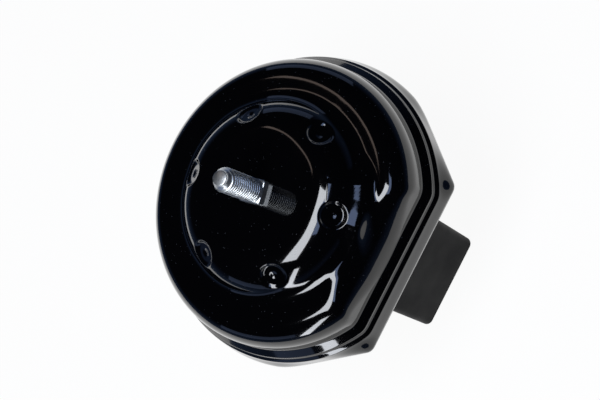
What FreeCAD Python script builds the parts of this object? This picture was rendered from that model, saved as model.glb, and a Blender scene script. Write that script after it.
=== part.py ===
import FreeCAD
import Part
import math
import os

# Hydraulic engine mount: pressed steel dome cup with a square-neck stud, fluid partition
# inside, bonded rubber spring and a block-shaped head behind.  Millimetres.
# Frame: +Z along the stud, origin at the centre of the head's flat end face, the long
# flat of the cup faces -Y.

V = FreeCAD.Vector
AXIS = V(0, 0, 1)

# ---------------------------------------------------------------- driving dimensions
SHEET = 2.0                 # wall of the pressed cup
RIM_R = 47.9                # crest circle of the rim
RIM_OUT = 11.2              # outer rounding of the rim
RIM_IN = 8.0                # inner rounding of the rim
DOME_RISE = 22.5            # plateau over the rim centre
DOME_R = 26.0               # flat part of the plateau
DOME_ROUND = 14.0           # rounding at the plateau's edge
DOME_SLOPE = 62.0           # steepest slope of the dome, degrees
GROOVE_ROUND = 2.0          # groove between dome and rim
WALL_FLAT = 51.5            # axis to the flat of the cup's wall
FLAT_ROUND = 8.0            # rounding over that flat
CORNER_ROUND = 7.0          # corners where the flats meet the circle

LEDGE_DROP = 6.5            # rim centre down to the first ledge
LEDGE_OUT = 2.8             # width of the first ledge
LEDGE_ROUND = 1.2
LIP_DROP = 10.8             # rim centre down to the top of the crimped lip
LIP_OUT = 4.2               # lip's upper outline outside the wall
LIP_ROUND = 2.0
LIP_END = 19.0              # rim centre down to the lip's lower edge
LIP_SPREAD = 1.5            # the lip's lower edge outside its upper outline
LIP_FLAT_SPREAD = 0.5       # the same at the long flat
LIP_FLARE = 2.4             # room for the ears outside the lip's round edge
SIDE_CUT = 1.4              # depth of two shorter flats in the lip's lower edge
SIDE_ANGLE = 53.0           # their angle from the long flat
EAR_ROUND = 4.5             # rounded corners that stand proud of the long flat
EAR_PROUD = 0.4
FLUSH = 0.1                 # the tapering tool stands this far outside the lip's outline
HOOK_IN = 6.8               # width of the turned-in lip, round the opening
HOOK_FLAT_IN = 5.2

DIMPLES = 6
DIMPLE_R = 34.5             # circle of the pressed dimples
DIMPLE_START = 40.0
DIMPLE_PUNCH = 5.3          # radius of the flat-nosed punch that presses them
DIMPLE_DEPTH = 1.9
DIMPLE_ROUND = 1.5          # rounding of the punch's nose

STUD_D = 10.0               # M10 x 1.5
STUD_LENGTH = 27.8          # above the plateau
STUD_PILOT_D = 6.2
STUD_PILOT_L = 1.2
STUD_CONE_L = 2.6
NECK = 10.0                 # square neck
NECK_PROUD = 3.3
NECK_TURN = 13.4
NECK_CLEAR = 0.15           # square hole round the neck
STUD_HEAD_D = 24.0
STUD_HEAD_T = 4.0
BACK_PLATE_IN = 2.0         # the stiffening plate ends this far inside the plateau's flat
BACK_PLATE_T = 3.0

STACK_CLEAR = 0.3           # clamped plates inside the lip, all round
PLATE_RIM_T = 2.3           # clamped rim of the upper channel plate
FLANGE_T = 2.6              # clamped flange of the sleeve
PLATE_R = 42.0              # channel plates below the rim
PLATE_UP_T = 5.5
PLATE_LOW_T = 4.0
CHANNEL_IN = 6.0            # plate's edge to the middle of the ring channel
CHANNEL_W = 6.0
CHANNEL_H = 4.0
PORT_R = 2.6                # the channel's two ends
DECOUPLER_R = 24.0
DECOUPLER_T = 3.0
DECOUPLER_GAP = 0.2
WINDOWS = 4                 # windows over the decoupler
WINDOW_R = 6.0
WINDOW_CIRCLE = 12.0
RIVETS = 3                  # rivets joining the two plates
RIVET_CIRCLE = 29.0
RIVET_R = 1.5
RIVET_HEAD_R = 2.8
RIVET_HEAD_T = 1.0
FILM = 1.6                  # wall of the diaphragm
BELLOWS_OUT = 3.0           # plate's edge to the outside of the bellows
BELLOWS_RISE = 13.0         # seat to the top of the bellows
BELLOWS_ROLL = 6.5          # width of the rolling fold
BELLOWS_DIP = 6.0

SLEEVE_T = 2.6
SLEEVE_ROOM = 3.0           # plate's edge to the inside of the sleeve at its flange
SLEEVE_TAPER = 8.5          # how much narrower the sleeve is at its end
SLEEVE_BEND_DROP = 18.0
SLEEVE_END_DROP = 35.0
COVER_T = 1.6
COVER_GAP = 0.5             # between sleeve and stop cover
COVER_DROP = 38.0           # rim centre down to the inner face of the cover's floor
COVER_FLOOR_W = 8.5         # sleeve's end to the hole in the cover's floor

HEAD_X = 41.4               # block-shaped head, over its rubber jacket
HEAD_Y = 79.7
HEAD_H = 45.0
STOP_GAP = 3.4              # travel from the head's buffer to the cover's floor
HEAD_LEAN = 3.1             # the block leans from its neck towards -X, degrees
HEAD_DRAFT = 1.0            # its two long sides open upwards by this
HEAD_ROUND = 3.0
JACKET_T = 2.5
NECK_R = 16.0               # round neck of the core between block and spring
SPRING_WALL = 11.5          # sleeve's end to the widest part of the core
CORE_TOP_DROP = 24.0
CORE_RIM = 2.5              # straight edge of the core's top
CORE_CONE_H = 11.5
INSERT_D = 18.0
INSERT_L = 24.0
THREAD_R = 5.1              # tapped wall of the M12 insert
THREAD_L = 20.0
DOWEL_R = 4.0
DOWEL_L = 9.0
DOWEL_Y = 26.0

# ---------------------------------------------------------------- derived heights
RIM_Z = HEAD_H + STOP_GAP + COVER_T + COVER_DROP
CREST_Z = RIM_Z + RIM_OUT
DOME_Z = RIM_Z + DOME_RISE
LEDGE_Z = RIM_Z - LEDGE_DROP
LIP_Z = RIM_Z - LIP_DROP
LIP_END_Z = RIM_Z - LIP_END
HOOK_Z = LIP_END_Z + SHEET
SEAT_Z = LIP_Z - SHEET
BEAD_TOP_Z = LEDGE_Z - SHEET
WALL_R = RIM_R + RIM_OUT
LIP_R = WALL_R + LIP_OUT + LIP_SPREAD
LIP_FLAT = WALL_FLAT + LIP_OUT + LIP_FLAT_SPREAD
SIDE_FLAT = LIP_R - SIDE_CUT
LIP_HOOK = LIP_R - HOOK_IN
HOOK_FLAT = LIP_FLAT - HOOK_FLAT_IN
BACK_PLATE_R = DOME_R - BACK_PLATE_IN
CHANNEL_R = PLATE_R - CHANNEL_IN
BELLOWS_R = PLATE_R + BELLOWS_OUT
BELLOWS_ROLL_R = BELLOWS_R - BELLOWS_ROLL
SLEEVE_TOP_R = PLATE_R + SLEEVE_ROOM
SLEEVE_END_R = SLEEVE_TOP_R - SLEEVE_TAPER
COVER_HOLE_R = SLEEVE_END_R - COVER_FLOOR_W
CORE_TOP_R = SLEEVE_END_R - SPRING_WALL
RIM_PLATE_TOP_Z = SEAT_Z + PLATE_RIM_T
FLANGE_LOW_Z = SEAT_Z - FLANGE_T
COVER_FLOOR_Z = RIM_Z - COVER_DROP
SLEEVE_END_Z = RIM_Z - SLEEVE_END_DROP
CORE_TOP_Z = RIM_Z - CORE_TOP_DROP
PLATE_SPLIT_Z = RIM_PLATE_TOP_Z - PLATE_UP_T
PLATE_LOW_Z = PLATE_SPLIT_Z - PLATE_LOW_T
BACK_PLATE_Z = DOME_Z - SHEET - BACK_PLATE_T
CORE_CONE_Z = CORE_TOP_Z - CORE_RIM
CORE_NECK_Z = CORE_CONE_Z - CORE_CONE_H
SLEEVE_BEND_Z = RIM_Z - SLEEVE_BEND_DROP
ROOM_R = WALL_R + LEDGE_OUT - SHEET - STACK_CLEAR
ROOM_FLAT = WALL_FLAT + LEDGE_OUT - SHEET - STACK_CLEAR
ROOM_CORNER = CORNER_ROUND + LEDGE_OUT - SHEET - STACK_CLEAR
STACK_R = SIDE_FLAT - SHEET - STACK_CLEAR
STACK_FLAT = WALL_FLAT + LIP_OUT - SHEET - STACK_CLEAR
STACK_CORNER = CORNER_ROUND + LIP_OUT - SHEET - STACK_CLEAR


def polar(radius, degrees):
    """A point on a circle in the XY plane."""
    turn = math.radians(degrees)
    return V(radius * math.cos(turn), radius * math.sin(turn), 0)


def rz_arc(centre, radius, start, end):
    """An arc in the XZ half plane; centre is (r, z), angles in degrees."""
    points = []
    for turn in (start, (start + end) / 2.0, end):
        step = math.radians(turn)
        points.append(V(centre[0] + radius * math.cos(step), 0, centre[1] + radius * math.sin(step)))
    return Part.Arc(*points).toShape()


def rz_line(start, end):
    """A line in the XZ half plane between two (r, z) points."""
    return Part.makeLine(V(start[0], 0, start[1]), V(end[0], 0, end[1]))


def rz_end(edge):
    """The (r, z) end of the last edge of a profile."""
    point = edge.valueAt(edge.LastParameter)
    return (point.x, point.z)


def rz_start(edge):
    """The (r, z) start of an edge."""
    point = edge.valueAt(edge.FirstParameter)
    return (point.x, point.z)


def turned(edges):
    """Closes a profile's edges and turns them round the axis."""
    face = Part.Face(Part.Wire(edges))
    return face.revolve(V(0, 0, 0), AXIS, 360)


def turned_points(points):
    """Turns a closed polygon of (r, z) points round the axis."""
    corners = [V(r, 0, z) for r, z in points]
    face = Part.Face(Part.makePolygon(corners + corners[:1]))
    return face.revolve(V(0, 0, 0), AXIS, 360)


def disc(radius, low, high):
    """A round plate between two heights."""
    return Part.makeCylinder(radius, high - low, V(0, 0, low))


def d_wire(radius, flat, corner, height):
    """A circle cut by one flat facing -Y, its two corners rounded."""
    inner = radius - corner
    rise = corner - flat
    reach = math.sqrt(inner * inner - rise * rise)
    turn = math.degrees(math.atan2(rise, reach))
    right = V(reach, rise, 0)
    left = V(-reach, rise, 0)
    start = polar(radius, turn)
    end = polar(radius, 180 - turn)
    big = Part.Arc(start, V(0, radius, 0), end)
    half = (turn - 90) / 2.0
    left_arc = Part.Arc(end, left + polar(corner, 180 - half), left - V(0, corner, 0))
    line = Part.LineSegment(left - V(0, corner, 0), right - V(0, corner, 0))
    right_arc = Part.Arc(right - V(0, corner, 0), right + polar(corner, half), start)
    wire = Part.Wire([part.toShape() for part in (big, left_arc, line, right_arc)])
    wire.translate(V(0, 0, height))
    return wire


def d_plate(radius, flat, corner, low, high):
    """A plate with one flat between two heights."""
    return Part.Face(d_wire(radius, flat, corner, low)).extrude(V(0, 0, high - low))


def groove_centre():
    """Centre of the groove's rounding, tangent to the dome's slope and to the rim."""
    slope = math.radians(DOME_SLOPE)
    foot = (DOME_R + DOME_ROUND * math.sin(slope), DOME_Z - DOME_ROUND * (1 - math.cos(slope)))
    along = (math.cos(slope), -math.sin(slope))
    out = (math.sin(slope), math.cos(slope))
    base = (foot[0] + GROOVE_ROUND * out[0], foot[1] + GROOVE_ROUND * out[1])
    rim = (RIM_R, CREST_Z - RIM_IN)
    gap = (base[0] - rim[0], base[1] - rim[1])
    half = gap[0] * along[0] + gap[1] * along[1]
    reach = RIM_IN + GROOVE_ROUND
    step = -half - math.sqrt(half * half - gap[0] ** 2 - gap[1] ** 2 + reach * reach)
    return (base[0] + step * along[0], base[1] + step * along[1])


def dome_profile(inset, low):
    """Half section of the dome and rim, offset inwards by inset and closed on the axis."""
    centre = groove_centre()
    rim = (RIM_R, CREST_Z - RIM_IN)
    rise = math.degrees(math.atan2(rim[1] - centre[1], rim[0] - centre[0]))
    shoulder = rz_arc((DOME_R, DOME_Z - DOME_ROUND), DOME_ROUND - inset, 90, 90 - DOME_SLOPE)
    groove = rz_arc(centre, GROOVE_ROUND + inset, 270 - DOME_SLOPE, 360 + rise)
    inner = rz_arc(rim, RIM_IN - inset, 180 + rise, 90)
    outer = rz_arc((RIM_R, RIM_Z), RIM_OUT - inset, 90, 0)
    wall = (WALL_R - inset, low)
    return [
        rz_line((0, DOME_Z - inset), rz_start(shoulder)),
        shoulder,
        rz_line(rz_end(shoulder), rz_start(groove)),
        groove,
        inner,
        outer,
        rz_line(rz_end(outer), wall),
        rz_line(wall, (0, low)),
        rz_line((0, low), (0, DOME_Z - inset)),
    ]


def flat_tool(inset, low):
    """The space left on the inner side of the cup's flat wall and its rounding."""
    flat = -(WALL_FLAT - inset)
    corner = FLAT_ROUND - inset
    top = CREST_Z - inset
    turn = math.sqrt(0.5) * corner
    middle = V(0, flat + corner - turn, top - corner + turn)
    far = 2 * WALL_R
    edges = [
        Part.makeLine(V(0, flat, low), V(0, flat, top - corner)),
        Part.Arc(V(0, flat, top - corner), middle, V(0, flat + corner, top)).toShape(),
        Part.makeLine(V(0, flat + corner, top), V(0, flat + corner, 2 * DOME_Z)),
        Part.makeLine(V(0, flat + corner, 2 * DOME_Z), V(0, far, 2 * DOME_Z)),
        Part.makeLine(V(0, far, 2 * DOME_Z), V(0, far, low)),
        Part.makeLine(V(0, far, low), V(0, flat, low)),
    ]
    face = Part.Face(Part.Wire(edges))
    face.translate(V(-far, 0, 0))
    return face.extrude(V(2 * far, 0, 0))


def dome_body(inset, low):
    """Dome, groove, rim and wall as one filled body."""
    return turned(dome_profile(inset, low)).common(flat_tool(inset, low))


def lip_wire(inset, height):
    """Lower outline of the lip: circle, two side flats, two ears and the long flat."""
    radius = LIP_R - inset
    flat = LIP_FLAT - inset
    side = SIDE_FLAT - inset
    ear = EAR_ROUND - inset
    normal = polar(1, SIDE_ANGLE - 90)
    along = polar(1, SIDE_ANGLE)
    meet = side * normal + math.sqrt(radius * radius - side * side) * along
    ear_y = -(LIP_FLAT + EAR_PROUD - EAR_ROUND)
    ear_x = (side - ear - ear_y * normal.y) / normal.x
    hollow = EAR_ROUND / 2.0 + inset
    reach = ear + hollow
    drop = hollow + flat + ear_y
    notch_x = ear_x - math.sqrt(reach * reach - drop * drop)
    centre = V(ear_x, ear_y, 0)
    notch = V(notch_x, -flat - hollow, 0)
    turn = math.degrees(math.atan2(notch.y - centre.y, notch.x - centre.x))
    join = centre + polar(ear, turn)
    ear_mid = centre + polar(ear, (SIDE_ANGLE - 90 + turn) / 2.0)
    notch_mid = notch + polar(hollow, (turn + 180 + 90) / 2.0)
    side_end = centre + ear * normal
    right = [
        Part.LineSegment(meet, side_end),
        Part.Arc(side_end, ear_mid, join),
        Part.Arc(join, notch_mid, V(notch_x, -flat, 0)),
    ]
    base = Part.LineSegment(V(notch_x, -flat, 0), V(-notch_x, -flat, 0))
    flip = [part.toShape().mirror(V(0, 0, 0), V(1, 0, 0)) for part in reversed(right)]
    round_edge = Part.Arc(V(-meet.x, meet.y, 0), V(0, radius, 0), meet).toShape()
    edges = [part.toShape() for part in right] + [base.toShape()] + flip + [round_edge]
    wire = Part.Wire(Part.__sortEdges__(edges))
    wire.translate(V(0, 0, height))
    return wire


def lip_body(inset, low, high):
    """The lip's filled body: ears below, a plain circle with one flat above."""
    lower = Part.Face(lip_wire(inset, low)).extrude(V(0, 0, high - low))
    corner = CORNER_ROUND + LIP_OUT - inset
    top = d_wire(WALL_R + LIP_OUT - inset, WALL_FLAT + LIP_OUT - inset, corner, high)
    knee = d_wire(LIP_R + FLUSH - inset, LIP_FLAT + 2 * FLUSH - inset, corner, HOOK_Z)
    wires = [knee, top]
    if low < HOOK_Z:
        wires.insert(0, d_wire(LIP_R + LIP_FLARE - inset, LIP_FLAT + LIP_FLARE - inset, corner, low))
    taper = Part.makeLoft(wires, True, True)
    if inset == 0:
        taper = taper.makeFillet(LIP_ROUND, top_edges(taper, high))
    return lower.common(taper)


def top_edges(shape, height):
    """The edges that lie flat at one height."""
    picked = []
    for edge in shape.Edges:
        box = edge.BoundBox
        if abs(box.ZMin - height) < 0.001 and abs(box.ZMax - height) < 0.001:
            picked.append(edge)
    return picked


def dimple_tools(extra):
    """Flat-nosed punches of the pressed dimples, square to the plateau's shoulder; extra grows
    them by the sheet's thickness."""
    tools = []
    shoulder = math.asin((DIMPLE_R - DOME_R) / DOME_ROUND)
    surface_z = DOME_Z - DOME_ROUND * (1 - math.cos(shoulder))
    depth = DIMPLE_DEPTH + extra
    for index in range(DIMPLES):
        punch = disc(DIMPLE_PUNCH + extra, -depth, DOME_ROUND)
        punch = punch.makeFillet(DIMPLE_ROUND + extra, top_edges(punch, -depth))
        punch.rotate(V(0, 0, 0), V(0, 1, 0), math.degrees(shoulder))
        punch.translate(V(DIMPLE_R, 0, surface_z))
        punch.rotate(V(0, 0, 0), AXIS, DIMPLE_START + index * 360.0 / DIMPLES)
        tools.append(punch)
    return tools


def square_bar(width, low, high):
    """A square bar on the axis, turned like the stud's neck."""
    bar = Part.makeBox(width, width, high - low, V(-width / 2.0, -width / 2.0, low))
    bar.rotate(V(0, 0, 0), AXIS, NECK_TURN)
    return bar


def dome_cup():
    """Pressed cup: dome, rim, flats, stepped ledge and the lip crimped round the stack."""
    base = LIP_END_Z
    tier = d_plate(WALL_R + LEDGE_OUT, WALL_FLAT + LEDGE_OUT, CORNER_ROUND + LEDGE_OUT, base, LEDGE_Z)
    tier = tier.makeFillet(LEDGE_ROUND, top_edges(tier, LEDGE_Z))
    outer = dome_body(0, base).fuse(tier).fuse(lip_body(0, base, LIP_Z))
    room = d_plate(WALL_R + LEDGE_OUT - SHEET, WALL_FLAT + LEDGE_OUT - SHEET,
                   CORNER_ROUND + LEDGE_OUT - SHEET, HOOK_Z, BEAD_TOP_Z)
    inner = dome_body(SHEET, HOOK_Z).fuse(room).fuse(lip_body(SHEET, HOOK_Z, SEAT_Z))
    inner = inner.cut(Part.makeCompound(dimple_tools(SHEET)))
    mouth = d_plate(LIP_HOOK, HOOK_FLAT, CORNER_ROUND, base - 1, HOOK_Z + 1)
    hole = square_bar(NECK + 2 * NECK_CLEAR, DOME_Z - 2 * SHEET, DOME_Z + SHEET)
    outer = outer.cut(Part.makeCompound(dimple_tools(0)))
    return outer.cut(inner).cut(mouth).cut(hole)


def stud():
    """Square-neck stud with its round head inside the dome; the thread is left plain."""
    tip = DOME_Z + STUD_LENGTH
    radius = STUD_D / 2.0
    foot = DOME_Z + NECK_PROUD
    cone = tip - STUD_PILOT_L - STUD_CONE_L
    shank = turned_points([
        (0, BACK_PLATE_Z), (radius, BACK_PLATE_Z), (radius, cone),
        (STUD_PILOT_D / 2.0, tip - STUD_PILOT_L), (STUD_PILOT_D / 2.0, tip), (0, tip)])
    head = disc(STUD_HEAD_D / 2.0, BACK_PLATE_Z - STUD_HEAD_T, BACK_PLATE_Z)
    head = head.makeFillet(STUD_HEAD_T / 2.0, top_edges(head, BACK_PLATE_Z - STUD_HEAD_T))
    return shank.fuse(square_bar(NECK, BACK_PLATE_Z, foot)).fuse(head).removeSplitter()


def backing_plate():
    """Stiffening plate under the plateau, between the dimples."""
    plate = disc(BACK_PLATE_R, BACK_PLATE_Z, BACK_PLATE_Z + BACK_PLATE_T)
    plate = plate.makeChamfer(BACK_PLATE_T / 3.0, top_edges(plate, BACK_PLATE_Z + BACK_PLATE_T))
    return plate.cut(square_bar(NECK + 2 * NECK_CLEAR, BACK_PLATE_Z - 1, DOME_Z))


def diaphragm():
    """Rubber bellows over the partition, its bead clamped under the cup's ledge."""
    top = RIM_PLATE_TOP_Z + BELLOWS_RISE
    low = top - BELLOWS_DIP
    roll = BELLOWS_R - BELLOWS_ROLL_R
    slope = BELLOWS_ROLL_R - roll
    skin = turned_points([
        (BELLOWS_R, RIM_PLATE_TOP_Z), (BELLOWS_R, top - roll / 2.0), (BELLOWS_R - roll / 2.0, top),
        (BELLOWS_ROLL_R - FILM, top), (slope - FILM, low), (0, low),
        (0, low - FILM), (slope - FILM / 2.0, low - FILM), (BELLOWS_ROLL_R - FILM / 2.0, top - FILM),
        (BELLOWS_R - roll / 2.0 - FILM / 2.0, top - FILM), (BELLOWS_R - FILM, top - roll / 2.0 - FILM / 2.0),
        (BELLOWS_R - FILM, RIM_PLATE_TOP_Z)])
    bead = d_plate(ROOM_R, ROOM_FLAT, ROOM_CORNER, RIM_PLATE_TOP_Z, BEAD_TOP_Z)
    bead = bead.cut(disc(BELLOWS_R - FILM, RIM_PLATE_TOP_Z - 1, BEAD_TOP_Z + 1))
    return skin.fuse(bead).removeSplitter()


def around(tool, circle, count, start):
    """Copies of a tool round the axis."""
    copies = []
    for index in range(count):
        copy = tool.copy()
        copy.translate(V(circle, 0, 0))
        copy.rotate(V(0, 0, 0), AXIS, start + index * 360.0 / count)
        copies.append(copy)
    return Part.makeCompound(copies)


def plate_openings():
    """Room for the decoupler, its windows and the rivets, through both plates."""
    low = PLATE_LOW_Z - 1
    high = RIM_PLATE_TOP_Z + 1
    half = DECOUPLER_T / 2.0 + DECOUPLER_GAP
    pocket = disc(DECOUPLER_R + DECOUPLER_GAP, PLATE_SPLIT_Z - half, PLATE_SPLIT_Z + half)
    windows = around(disc(WINDOW_R, low, high), WINDOW_CIRCLE, WINDOWS, 45)
    holes = around(disc(RIVET_R, low, high), RIVET_CIRCLE, RIVETS, 90)
    return [pocket, windows, holes]


def channel():
    """The ring channel, open for most of a turn."""
    ring = disc(CHANNEL_R + CHANNEL_W / 2.0, PLATE_SPLIT_Z, PLATE_SPLIT_Z + CHANNEL_H)
    ring = ring.cut(disc(CHANNEL_R - CHANNEL_W / 2.0, PLATE_SPLIT_Z, PLATE_SPLIT_Z + CHANNEL_H))
    dam = Part.makeBox(CHANNEL_R * 2, CHANNEL_W, CHANNEL_H, V(0, -CHANNEL_W / 2.0, PLATE_SPLIT_Z))
    return ring.cut(dam)


def port(degrees, low, high):
    """A round port from the channel through one plate."""
    hole = disc(PORT_R, low, high)
    hole.translate(polar(CHANNEL_R, degrees))
    return hole


def upper_channel_plate():
    """Upper half of the partition with the ring channel; its rim is clamped in the lip."""
    plate = d_plate(ROOM_R, ROOM_FLAT, ROOM_CORNER, SEAT_Z, RIM_PLATE_TOP_Z)
    plate = plate.fuse(disc(PLATE_R, PLATE_SPLIT_Z, RIM_PLATE_TOP_Z)).removeSplitter()
    for tool in plate_openings() + [channel(), port(14, PLATE_SPLIT_Z, RIM_PLATE_TOP_Z + 1)]:
        plate = plate.cut(tool)
    return plate


def lower_channel_plate():
    """Lower half of the partition, closing the channel."""
    plate = disc(PLATE_R, PLATE_LOW_Z, PLATE_SPLIT_Z)
    for tool in plate_openings() + [port(-14, PLATE_LOW_Z - 1, PLATE_SPLIT_Z)]:
        plate = plate.cut(tool)
    return plate


def decoupler():
    """Loose rubber disc between the two plates."""
    half = DECOUPLER_T / 2.0
    plate = disc(DECOUPLER_R, PLATE_SPLIT_Z - half, PLATE_SPLIT_Z + half)
    return plate.makeFillet(half / 2.0, plate.Edges[:1] + plate.Edges[2:])


def plate_rivets():
    """Rivets that hold the lower plate under the upper one."""
    shank = disc(RIVET_R, PLATE_LOW_Z, RIM_PLATE_TOP_Z)
    high = disc(RIVET_HEAD_R, RIM_PLATE_TOP_Z, RIM_PLATE_TOP_Z + RIVET_HEAD_T)
    low = disc(RIVET_HEAD_R, PLATE_LOW_Z - RIVET_HEAD_T, PLATE_LOW_Z)
    rivet = shank.fuse(high).fuse(low).removeSplitter()
    return around(rivet, RIVET_CIRCLE, RIVETS, 90)


def sleeve():
    """Steel sleeve bonded round the rubber, its flange clamped in the lip."""
    skin = SLEEVE_T / math.cos(math.atan2(SLEEVE_TOP_R - SLEEVE_END_R, SLEEVE_BEND_Z - SLEEVE_END_Z))
    cone = turned_points([
        (SLEEVE_TOP_R, SEAT_Z), (SLEEVE_TOP_R, SLEEVE_BEND_Z), (SLEEVE_END_R, SLEEVE_END_Z),
        (SLEEVE_END_R + skin, SLEEVE_END_Z), (SLEEVE_TOP_R + skin, SLEEVE_BEND_Z),
        (SLEEVE_TOP_R + skin, SEAT_Z)])
    flange = d_plate(STACK_R, STACK_FLAT, STACK_CORNER, FLANGE_LOW_Z, SEAT_Z)
    flange = flange.cut(disc(SLEEVE_TOP_R, FLANGE_LOW_Z - 1, SEAT_Z + 1))
    return cone.fuse(flange).removeSplitter()


def stop_cover():
    """Thin cover round the sleeve; its floor stops the head."""
    skin = SLEEVE_T / math.cos(math.atan2(SLEEVE_TOP_R - SLEEVE_END_R, SLEEVE_BEND_Z - SLEEVE_END_Z))
    top = SLEEVE_TOP_R + skin + COVER_GAP
    end = SLEEVE_END_R + skin + COVER_GAP
    wall = COVER_T * skin / SLEEVE_T
    low = COVER_FLOOR_Z - COVER_T
    cone = turned_points([
        (top, FLANGE_LOW_Z), (top, SLEEVE_BEND_Z), (end, COVER_FLOOR_Z + COVER_T), (end - COVER_T, COVER_FLOOR_Z),
        (COVER_HOLE_R, COVER_FLOOR_Z), (COVER_HOLE_R, low), (end - COVER_T / 2.0, low),
        (end + wall, COVER_FLOOR_Z + COVER_T / 2.0), (top + wall, SLEEVE_BEND_Z), (top + wall, FLANGE_LOW_Z)])
    flange = d_plate(STACK_R, STACK_FLAT, STACK_CORNER, HOOK_Z, FLANGE_LOW_Z)
    flange = flange.cut(disc(top, HOOK_Z - 1, FLANGE_LOW_Z + 1))
    return cone.fuse(flange).removeSplitter()


def main_spring():
    """Rubber cone bonded between the sleeve and the core."""
    return turned([
        rz_line((CORE_TOP_R, CORE_CONE_Z), (NECK_R, CORE_NECK_Z)),
        rz_line((NECK_R, CORE_NECK_Z), (COVER_HOLE_R - COVER_GAP, SLEEVE_END_Z)),
        rz_line((COVER_HOLE_R - COVER_GAP, SLEEVE_END_Z), (SLEEVE_END_R, SLEEVE_END_Z)),
        rz_line((SLEEVE_END_R, SLEEVE_END_Z), (SLEEVE_TOP_R, SLEEVE_BEND_Z)),
        rz_line((SLEEVE_TOP_R, SLEEVE_BEND_Z), ((SLEEVE_TOP_R + CORE_TOP_R) / 2.0, CORE_TOP_Z - CORE_RIM / 2.0)),
        rz_line(((SLEEVE_TOP_R + CORE_TOP_R) / 2.0, CORE_TOP_Z - CORE_RIM / 2.0), (CORE_TOP_R, CORE_CONE_Z)),
    ])


def head_block(inset, high):
    """The head's leaning block, offset inwards by inset, with rounded edges."""
    half_x = HEAD_X / 2.0 - inset
    half_y = HEAD_Y / 2.0 - inset
    foot = -HEAD_H * math.tan(math.radians(HEAD_LEAN))
    right = high * math.tan(math.radians(HEAD_LEAN + HEAD_DRAFT))
    left = high * math.tan(math.radians(HEAD_LEAN - HEAD_DRAFT))
    corners = [V(foot - half_x, -half_y, 0), V(foot + half_x, -half_y, 0),
               V(foot + half_x + right, -half_y, high), V(foot - half_x + left, -half_y, high)]
    face = Part.Face(Part.makePolygon(corners + corners[:1]))
    block = face.extrude(V(0, 2 * half_y, 0))
    upright = [edge for edge in block.Edges if edge.BoundBox.ZLength > high / 2.0]
    block = block.makeFillet(HEAD_ROUND - inset / 2.0, upright)
    return block.makeFillet(HEAD_ROUND - inset / 2.0, top_edges(block, high))


def neck_bore(radius):
    """The core's neck as a tool through the jacket's top."""
    return disc(radius, HEAD_H / 2.0, HEAD_H + 1)


def core():
    """Cast core: cone inside the spring, neck and block with a seat for the insert."""
    trunk = turned_points([
        (0, CORE_TOP_Z), (CORE_TOP_R, CORE_TOP_Z), (CORE_TOP_R, CORE_CONE_Z), (NECK_R, CORE_NECK_Z),
        (NECK_R, HEAD_H / 2.0), (0, HEAD_H / 2.0)])
    body = trunk.fuse(head_block(JACKET_T, HEAD_H - JACKET_T)).removeSplitter()
    body = body.cut(disc(INSERT_D / 2.0, -1, INSERT_L))
    dowel = disc(DOWEL_R, -1, DOWEL_L)
    dowel.translate(V(0, DOWEL_Y, 0))
    return body.cut(dowel)


def head_jacket():
    """Rubber jacket round the head's block; its top is the buffer against the cover."""
    jacket = head_block(0, HEAD_H).cut(head_block(JACKET_T, HEAD_H - JACKET_T))
    return jacket.cut(neck_bore(NECK_R))


def thread_insert():
    """Steel insert with a blind tapped hole in the end face; the thread is left plain."""
    return disc(INSERT_D / 2.0, 0, INSERT_L).cut(disc(THREAD_R, -1, THREAD_L))


NODES = {
    "dome_cup": dome_cup,
    "stud": stud,
    "backing_plate": backing_plate,
    "diaphragm": diaphragm,
    "upper_channel_plate": upper_channel_plate,
    "lower_channel_plate": lower_channel_plate,
    "decoupler": decoupler,
    "plate_rivets": plate_rivets,
    "sleeve": sleeve,
    "stop_cover": stop_cover,
    "main_spring": main_spring,
    "core": core,
    "head_jacket": head_jacket,
    "thread_insert": thread_insert,
}


def main():
    """Builds every node and writes it as a STEP file."""
    os.makedirs("parts", exist_ok=True)
    for name, make in NODES.items():
        shape = make()
        print(name, shape.isValid(), len(shape.Solids), round(shape.Volume), "mm3")
        shape.exportStep("parts/" + name + ".step")


main()
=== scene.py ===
import logging
import math
from dataclasses import dataclass, field
from enum import Enum

import bpy
import numpy as np
from mathutils import Matrix, Vector


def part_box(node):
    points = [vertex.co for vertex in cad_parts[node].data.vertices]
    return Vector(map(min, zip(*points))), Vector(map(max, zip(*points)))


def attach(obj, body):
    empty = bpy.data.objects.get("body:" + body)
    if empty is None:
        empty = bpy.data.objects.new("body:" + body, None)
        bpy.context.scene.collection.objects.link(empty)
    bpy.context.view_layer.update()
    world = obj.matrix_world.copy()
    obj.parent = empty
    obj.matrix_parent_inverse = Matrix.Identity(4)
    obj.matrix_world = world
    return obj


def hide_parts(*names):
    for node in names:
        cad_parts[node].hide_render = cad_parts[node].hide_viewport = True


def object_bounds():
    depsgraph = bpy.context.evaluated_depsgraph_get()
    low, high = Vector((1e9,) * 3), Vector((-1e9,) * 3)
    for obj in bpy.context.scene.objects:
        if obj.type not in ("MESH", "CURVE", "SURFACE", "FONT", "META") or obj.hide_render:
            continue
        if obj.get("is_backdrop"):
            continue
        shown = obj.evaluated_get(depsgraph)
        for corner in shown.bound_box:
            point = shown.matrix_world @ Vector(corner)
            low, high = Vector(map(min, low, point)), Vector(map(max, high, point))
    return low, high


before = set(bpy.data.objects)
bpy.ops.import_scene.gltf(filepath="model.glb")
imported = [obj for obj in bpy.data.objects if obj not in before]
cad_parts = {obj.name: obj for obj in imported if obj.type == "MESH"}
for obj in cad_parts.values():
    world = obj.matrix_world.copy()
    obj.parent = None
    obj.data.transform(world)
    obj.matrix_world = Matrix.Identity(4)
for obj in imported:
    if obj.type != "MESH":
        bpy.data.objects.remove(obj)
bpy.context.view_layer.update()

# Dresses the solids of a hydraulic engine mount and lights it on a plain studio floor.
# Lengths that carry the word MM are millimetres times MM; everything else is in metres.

MM = 0.001
ROOT = "root"
HALVINGS = 26
LOG = logging.getLogger("engine_mount")


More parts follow.
